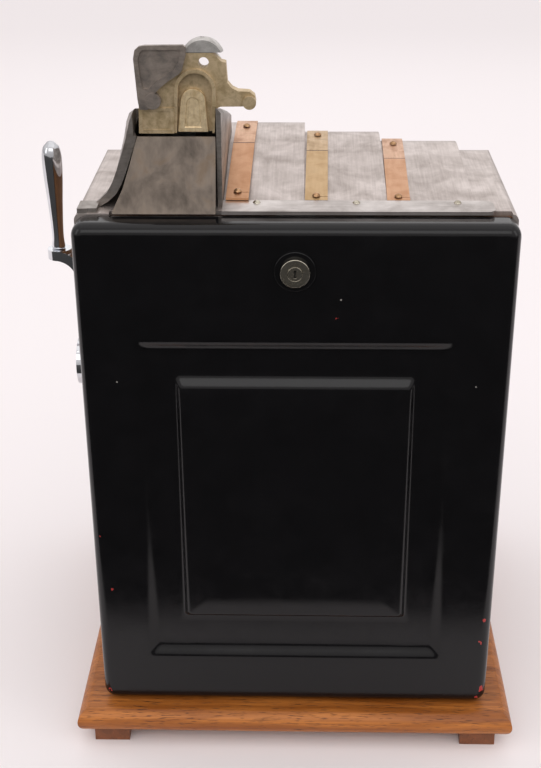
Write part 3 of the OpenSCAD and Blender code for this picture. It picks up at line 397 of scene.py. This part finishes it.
card_low, card_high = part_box("award_glass")
card_gap = 0.5 * MM
card_y = card_high.y + card_gap
u, v = np.meshgrid(np.linspace(0, 1, 2), np.linspace(0, 1, 2))
card_points = np.stack([card_low.x + u * (card_high.x - card_low.x), np.full_like(u, card_y),
                        card_low.z + v * (card_high.z - card_low.z)], -1)
award_card = surface("award_card", card_points, wrap=False)
pasteboard = award_card.modifiers.new("pasteboard", "SOLIDIFY")
pasteboard.thickness = 0.8 * MM
pasteboard.offset = -1.0
card_ink, tree, shader, place = new_finish("printed_card", Roughness=0.6)
dot_pitch = 14.5 * MM
cells = add(tree, "ShaderNodeMapping", {0: place, 3: (1 / dot_pitch, 1.0, 1 / dot_pitch)})
spots = add(tree, "ShaderNodeTexVoronoi", {"Vector": cells.outputs[0], "Scale": 1.0, "Randomness": 0.0},
            voronoi_dimensions="3D")
dots = add(tree, "ShaderNodeMapRange", {0: spots.outputs[0], 1: 0.36, 2: 0.33})
hues = add(tree, "ShaderNodeTexWhiteNoise", {0: spots.outputs["Position"]}, noise_dimensions="3D")
pick = add(tree, "ShaderNodeMapRange", {0: hues.outputs[0], 1: 0.45, 2: 0.55})
inks = add(tree, "ShaderNodeMix", {0: pick.outputs[0], 6: paint("#a8281f"), 7: paint("#c98a1e")},
           data_type="RGBA")
card = add(tree, "ShaderNodeMix", {0: dots.outputs[0], 6: paint("#e9dfc0"), 7: inks.outputs[2]},
           data_type="RGBA")
tree.links.new(card.outputs[2], shader.inputs["Base Color"])
award_card.data.materials.append(card_ink)
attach(award_card, "case")


# Rear door
# One sheet of steel, 1.6 mm thick, pressed into a shallow pan with a sunk border round a raised panel, and
# sprayed with gloss black enamel. It is slotted below for its two hinges.
def rounded_outline(half_w, half_h, radius, centre_z, per_side=14, per_corner=8):
    """Points round upright rounded rectangles, one row for each set of sizes: quarter circles of the corner
    radius, joined by straight sides. Returns X and Z."""
    arc = np.linspace(0, math.pi / 2, per_corner)
    step = np.linspace(0, 1, per_side + 2)[1:-1]
    half_w, half_h, radius, centre_z = (
        np.asarray(a, float)[:, None] for a in (half_w, half_h, radius, centre_z))
    xs, zs = [], []
    for quarter, (sx, sz) in enumerate(((1, 1), (-1, 1), (-1, -1), (1, -1))):
        cx, cz = sx * (half_w - radius), sz * (half_h - radius)
        xs.append(cx + radius * np.cos(arc + quarter * math.pi / 2))
        zs.append(cz + radius * np.sin(arc + quarter * math.pi / 2))
        if quarter in (0, 2):
            xs.append(xs[-1][:, -1:] * (1 - 2 * step))
            zs.append(np.repeat(zs[-1][:, -1:], per_side, 1))
        else:
            xs.append(np.repeat(xs[-1][:, -1:], per_side, 1))
            zs.append(zs[-1][:, -1:] * (1 - 2 * step))
    return np.concatenate(xs, 1), np.concatenate(zs, 1) + centre_z


door_low, door_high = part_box("back_door")
door_half_w, door_half_h = door_high.x, (door_high.z - door_low.z) / 2
door_mid_z = (door_high.z + door_low.z) / 2
fold, corner, sheet, sunk = 9 * MM, 11 * MM, 1.6 * MM, 5 * MM
slots_x = 120 * MM
slot_half = 14 * MM
turned = np.linspace(0, math.pi / 2, 9)
ease = (1 - np.cos(np.linspace(0, math.pi, 9))) / 2
flange_y = np.linspace(door_low.y, door_high.y - fold, 5)[:-1]
inset = np.concatenate([0 * flange_y, fold * (1 - np.cos(turned))])
ring_y = np.concatenate([flange_y, door_high.y - fold + fold * np.sin(turned)])
ring_w, ring_h = door_half_w - inset, door_half_h - inset
ring_z, ring_r = np.full_like(inset, door_mid_z), np.maximum(corner - inset, 2.5 * MM)


def slope(start, end, start_y, end_y, shares):
    """Rings that go in even steps from one half width, half height, centre and corner radius to another, while
    their depth goes from start_y to end_y in the given shares."""
    along = np.linspace(0, 1, len(shares))[:, None]
    sizes = np.array(start)[None] + (np.array(end) - np.array(start))[None] * along
    return (*sizes.T, start_y + (end_y - start_y) * shares)


edge_of_face = (door_half_w - fold, door_half_h - fold, door_mid_z, 3 * MM)
border_out, border_in, panel_foot, panel_head, panel_core = (
    tuple(size * MM for size in sizes)
    for sizes in ((136.5, 162.5, 253, 5), (124, 150, 253, 3), (103, 123.5, 257.5, 5),
                  (95.4, 114.7, 254.3, 3), (0, 19.3, 254.3, 0)))
flat = np.zeros(6)
parts = [(ring_w, ring_h, ring_z, ring_r, ring_y),
         slope(edge_of_face, border_out, door_high.y, door_high.y, flat),
         slope(border_out, border_in, door_high.y, door_high.y - sunk, ease),
         slope(border_in, panel_foot, door_high.y - sunk, door_high.y - sunk, flat),
         slope(panel_foot, panel_head, door_high.y - sunk, door_high.y, ease),
         slope(panel_head, panel_core, door_high.y, door_high.y, flat)]
parts = [parts[0]] + [tuple(a[1:] for a in part) for part in parts[1:]]
ring_w, ring_h, ring_z, ring_r, ring_y = (np.concatenate(a) for a in zip(*parts))
door_x, door_z = rounded_outline(ring_w, ring_h, ring_r, ring_z)
door_points = np.stack([door_x, np.repeat(ring_y[:, None], door_x.shape[1], 1), door_z], -1)
back_door = surface("pressed_door", door_points)
work = bmesh.new()
work.from_mesh(back_door.data)
bmesh.ops.remove_doubles(work, verts=work.verts, dist=0.02 * MM)
slot_top = door_low.z + 3 * MM
for sx in (-1, 1):
    for x in (sx * slots_x - slot_half, sx * slots_x + slot_half):
        whole = list(work.verts) + list(work.edges) + list(work.faces)
        bmesh.ops.bisect_plane(work, geom=whole, plane_co=(x, 0, 0), plane_no=(1, 0, 0), dist=1e-6)
fold_end = door_low.z + 12 * MM
low_part = [f for f in work.faces if f.calc_center_median().z < fold_end]
near = low_part + list({v for f in low_part for v in f.verts}) + list({e for f in low_part for e in f.edges})
bmesh.ops.bisect_plane(work, geom=near, plane_co=(0, 0, slot_top), plane_no=(0, 0, 1), dist=1e-6)
cut = [f for f in work.faces if f.calc_center_median().z < slot_top
       and abs(abs(f.calc_center_median().x) - slots_x) < slot_half]
bmesh.ops.delete(work, geom=cut, context="FACES")
bmesh.ops.recalc_face_normals(work, faces=work.faces)
for face in work.faces:
    face.smooth = True
work.to_mesh(back_door.data)
work.free()
wall = back_door.modifiers.new("sheet", "SOLIDIFY")
wall.thickness = sheet
wall.offset = -1.0
wall.use_even_offset = True

enamel, tree, shader, place = new_finish("gloss_black_enamel", **{"Specular IOR Level": 0.32})
peel = add(tree, "ShaderNodeTexNoise", {"Vector": place, "Scale": 1 / (2.4 * MM), "Detail": 2.0})
ripple = add(tree, "ShaderNodeTexNoise", {"Vector": place, "Scale": 1 / (60 * MM), "Detail": 2.0})
dust = add(tree, "ShaderNodeTexNoise", {"Vector": place, "Scale": 1 / (24 * MM), "Detail": 6.0,
                                        "Roughness": 0.7})
rub = add(tree, "ShaderNodeMapRange", {0: dust.outputs[0], 1: 0.35, 2: 0.75, 3: 0.10, 4: 0.24})
tree.links.new(rub.outputs[0], shader.inputs["Roughness"])
shaken = add(tree, "ShaderNodeTexNoise", {"Vector": place, "Scale": 1 / (5 * MM), "Detail": 3.0})
shift = add(tree, "ShaderNodeVectorMath", {0: shaken.outputs["Color"], 1: (0.5, 0.5, 0.5)},
            operation="SUBTRACT")
shift = add(tree, "ShaderNodeVectorMath", {0: shift.outputs[0], "Scale": 9 * MM}, operation="SCALE")
ragged = add(tree, "ShaderNodeVectorMath", {0: place, 1: shift.outputs[0]})
chips = ((-34.5, 435.5, 0.9), (174.8, 222.8, 1.2), (166.6, 165.8, 1.1), (-173.8, 134.6, 2.2),
         (-171.7, 109.8, 1.4), (-177, 55.3, 3.4), (-172, 47, 2.0), (176, 50, 1.6))
# The three grey dots are painted highlights, standing in for glints off small bumps in the enamel.
dots = ((-37.5, 451.4, 0.8), (149.9, 376.0, 0.8), (-151.8, 373.3, 0.7))


def spotted(base, spots, colour, point):
    """Round spots of one colour over base. Each spot is its X and Z on the door's face and its radius, in mm."""
    for spot_x, spot_z, spot_r in spots:
        away = add(tree, "ShaderNodeVectorMath", {0: point, 1: (spot_x * MM, door_high.y, spot_z * MM)},
                   operation="DISTANCE")
        inside = add(tree, "ShaderNodeMath", {0: away.outputs["Value"], 1: spot_r * MM}, operation="LESS_THAN")
        base = add(tree, "ShaderNodeMix", {0: inside.outputs[0], 6: base.outputs[2], 7: paint(colour)},
                   data_type="RGBA")
    return base


coat = add(tree, "ShaderNodeMix", {0: dust.outputs[0], 6: paint("#0a0a0b"), 7: paint("#151416")},
           data_type="RGBA")
coat = spotted(coat, chips, "#b03c3a", ragged.outputs[0])
# Painted highlights: the three grey dots.
coat = spotted(coat, dots, "#8f8b86", place)
tree.links.new(coat.outputs[2], shader.inputs["Base Color"])
wave = add(tree, "ShaderNodeMath", {0: ripple.outputs[0], 1: 9.0}, operation="MULTIPLY")
relief = add(tree, "ShaderNodeMath", {0: peel.outputs[0], 1: wave.outputs[0]}, operation="ADD")
bump = add(tree, "ShaderNodeBump", {"Height": relief.outputs[0], "Strength": 0.25, "Distance": 0.12 * MM})
tree.links.new(bump.outputs[0], shader.inputs["Normal"])
back_door.data.materials.append(enamel)
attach(back_door, "door")
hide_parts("back_door")


# Lock
# A nickelled cam lock in a black enamelled bezel. A nut behind the sheet holds the barrel, and the plug turns
# in it with the cam.
eased("lock_cup", 0.8, enamel)
eased("lock_barrel", 0.5, nickel)
eased("lock_plug", 0.3, nickel)


# Hinges, lock cam and keeper
# Bent and punched mild steel, oiled, with the grey of the rolling mill still on it.
steel = worked_metal("oiled_mild_steel", "#a5a6a8", "#77787a", 0.34, 18, (2, 20, 20), 0.8, 0.04)
dressed(steel, "lock_cam", "lock_keeper", "door_hinges", "door_knuckles")


# Handle
# A forged arm and a turned grip, polished and chromed, on a steel shaft that runs in a chromed bush.
def turned_on(name, centre, length, shares, radii, columns=64, rows=90):
    """A turned body on an upright axis: its radius follows the given radii at the given shares of its length,
    smoothed by a running mean, and both ends close at the axis."""
    share = np.linspace(0, 1, rows)
    radius = np.interp(share, shares, radii)
    window = np.ones(7) / 7
    radius = np.convolve(np.pad(radius, 3, mode="edge"), window, mode="valid")
    radius[0], radius[-1] = 0.0, 0.0
    angle = np.linspace(0, 2 * math.pi, columns, endpoint=False)
    points = np.stack([centre.x + radius[:, None] * np.cos(angle), centre.y + radius[:, None] * np.sin(angle),
                       np.repeat(centre.z + length * share[:, None], columns, 1)], -1)
    return closed(surface(name, points))


def closed(piece):
    """Merges doubled points, turns every face outwards and shades it smooth."""
    work = bmesh.new()
    work.from_mesh(piece.data)
    bmesh.ops.remove_doubles(work, verts=work.verts, dist=0.01 * MM)
    bmesh.ops.recalc_face_normals(work, faces=work.faces)
    for face in work.faces:
        face.smooth = True
    work.to_mesh(piece.data)
    work.free()
    return piece


grip_low, grip_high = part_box("handle_grip")
grip_foot = Vector(((grip_low.x + grip_high.x) / 2, (grip_low.y + grip_high.y) / 2, grip_low.z))
grip_shares = [0, 0.01, 0.05, 0.12, 0.24, 0.44, 0.62, 0.78, 0.87, 0.94, 0.98, 1]
grip_radii = [r * MM for r in (6.0, 6.4, 5.6, 5.2, 5.6, 6.8, 8.2, 9.0, 8.9, 7.6, 5.2, 0)]
handle_grip = turned_on("turned_grip", grip_foot, grip_high.z - grip_low.z, grip_shares, grip_radii)
handle_grip.data.materials.append(chrome)
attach(handle_grip, "handle")
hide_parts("handle_grip")
eased("handle_arm", 1.6, chrome, angle=40)
eased("handle_bush", 0.8, chrome)
dressed(steel, "handle_shaft", "handle_crank", "operating_link")

spring_low, spring_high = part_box("return_spring")
spring_wire = 1.6 * MM
coil_r = (spring_high.z - spring_low.z) / 2 - spring_wire
coils, per_coil, round_wire = 4.0, 36, 12
turn_at = np.linspace(0, coils * 2 * math.pi, int(coils * per_coil))
wire_at = np.linspace(0, 2 * math.pi, round_wire, endpoint=False)
core_x = np.linspace(spring_low.x + spring_wire, spring_high.x - spring_wire, len(turn_at))
wire_r = np.full(len(turn_at), spring_wire)
wire_r[[0, -1]] = 0.0
out_r = coil_r + wire_r[:, None] * np.cos(wire_at)
spring_points = np.stack([core_x[:, None] + wire_r[:, None] * np.sin(wire_at),
                          (spring_low.y + spring_high.y) / 2 + out_r * np.cos(turn_at)[:, None],
                          (spring_low.z + spring_high.z) / 2 + out_r * np.sin(turn_at)[:, None]], -1)
return_spring = closed(surface("wound_spring", spring_points))
return_spring.data.materials.append(steel)
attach(return_spring, "handle")
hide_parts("return_spring")


# Mechanism frame, kicker and stop levers
# Cast side plates and base in dull green enamel, tied by steel rods. The kicker and the three stop levers are
# bright steel.
green = plain_finish("green_enamel", "#5f7a68", 0.42, cloud=22, depth=0.08)
for node in ("mech_base", "mech_side_right", "mech_side_left"):
    eased(node, 0.8, green)
dressed(steel, "tie_rods", "reel_shaft", "kicker", "stop_lever_1", "stop_lever_2", "stop_lever_3")


# Coin chute, payout tube, fan and cash box
# Folded steel, drawn brass and japanned tin.
tube_brass = worked_metal("drawn_brass", "#c3a468", "#937640", 0.28, 14, (12, 12, 2), 0.7, 0.03)
tin = plain_finish("japanned_tin", "#6c5a44", 0.35, cloud=18, depth=0.05)
dressed(steel, "coin_chute")
dressed(tube_brass, "payout_tube", "air_brake_fan")
eased("cash_box", 0.5, tin)


# Reels and their strips
# Three light metal drums, painted ivory, with a stop star at one side. A printed paper strip is glued round
# each rim, with plain coloured dots and bars, twenty to a turn.
ivory = plain_finish("ivory_enamel", "#ddd3bd", 0.45, cloud=16)
strip_stock, tree, shader, place = new_finish("printed_strip", Roughness=0.55)
flat_place = add(tree, "ShaderNodeUVMap", uv_map="strip").outputs[0]
axes = add(tree, "ShaderNodeSeparateXYZ", {0: flat_place})
row = add(tree, "ShaderNodeMath", {0: axes.outputs[1]}, operation="FLOOR")
up = add(tree, "ShaderNodeMath", {0: axes.outputs[1]}, operation="FRACT")
mid_up = add(tree, "ShaderNodeMath", {0: up.outputs[0], 1: 0.5}, operation="SUBTRACT")
mid_side = add(tree, "ShaderNodeMath", {0: axes.outputs[0], 1: 0.5}, operation="SUBTRACT")
kind = add(tree, "ShaderNodeTexWhiteNoise", {1: row.outputs[0]}, noise_dimensions="1D")
wide = add(tree, "ShaderNodeMath", {0: mid_side.outputs[0], 1: 1.55}, operation="MULTIPLY")
spot = add(tree, "ShaderNodeCombineXYZ", {0: wide.outputs[0], 1: mid_up.outputs[0]})
reach = add(tree, "ShaderNodeVectorMath", {0: spot.outputs[0]}, operation="LENGTH")
fruit = add(tree, "ShaderNodeMath", {0: reach.outputs["Value"], 1: 0.34}, operation="LESS_THAN")
side_far = add(tree, "ShaderNodeMath", {0: mid_side.outputs[0]}, operation="ABSOLUTE")
up_far = add(tree, "ShaderNodeMath", {0: mid_up.outputs[0]}, operation="ABSOLUTE")
side_in = add(tree, "ShaderNodeMath", {0: side_far.outputs[0], 1: 0.36}, operation="LESS_THAN")
up_in = add(tree, "ShaderNodeMath", {0: up_far.outputs[0], 1: 0.2}, operation="LESS_THAN")
bar = add(tree, "ShaderNodeMath", {0: side_in.outputs[0], 1: up_in.outputs[0]}, operation="MULTIPLY")
is_bar = add(tree, "ShaderNodeMath", {0: kind.outputs[0], 1: 0.82}, operation="GREATER_THAN")
shape = add(tree, "ShaderNodeMix", {0: is_bar.outputs[0], 2: fruit.outputs[0], 3: bar.outputs[0]})
ink = paint("#b02a1f")
for start, hue in ((0.25, "#d08a1a"), (0.45, "#5a3475"), (0.62, "#c9b21f"), (0.82, "#15233f")):
    past = add(tree, "ShaderNodeMath", {0: kind.outputs[0], 1: start}, operation="GREATER_THAN")
    ink = add(tree, "ShaderNodeMix", {0: past.outputs[0], 6: ink, 7: paint(hue)}, data_type="RGBA").outputs[2]
paper_tone = add(tree, "ShaderNodeMix", {0: shape.outputs[0], 6: paint("#efe8d4"), 7: ink}, data_type="RGBA")
tree.links.new(paper_tone.outputs[2], shader.inputs["Base Color"])
strip_t = 0.35 * MM
rim_inset, rim_w = 1.2 * MM, 37.6 * MM
steps, symbols = 120, 20
for number, body in enumerate(("reel_one", "reel_two", "reel_three"), 1):
    drum_node = f"reel_{number}"
    dressed(ivory, drum_node)
    low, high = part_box(drum_node)
    rim_r = (high.z - low.z) / 2
    rim_x0 = low.x + rim_inset
    rim_x1 = rim_x0 + rim_w
    around = np.linspace(0, 2 * math.pi, steps, endpoint=False)
    section_x = np.array([rim_x0, rim_x1, rim_x1, rim_x0])
    section_r = np.array([rim_r + strip_t, rim_r + strip_t, rim_r, rim_r])
    strip_points = np.stack([np.repeat(section_x[None], steps, 0),
                             (low.y + high.y) / 2 + section_r * np.cos(around)[:, None],
                             (low.z + high.z) / 2 + section_r * np.sin(around)[:, None]], -1)
    strip_points = np.concatenate([strip_points, strip_points[:1]])
    strip = surface(f"reel_strip_{number}", strip_points)
    spread = strip.data.uv_layers.new(name="strip")
    index = np.zeros(len(strip.data.loops), np.int32)
    strip.data.loops.foreach_get("vertex_index", index)
    share = (index // len(section_x)) * symbols / steps
    width = (strip_points.reshape(-1, 3)[index, 0] - rim_x0) / rim_w
    spread.data.foreach_set("uv", np.stack([width, share + symbols * number], -1).ravel())
    closed(strip)
    strip.data.materials.append(strip_stock)
    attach(strip, body)
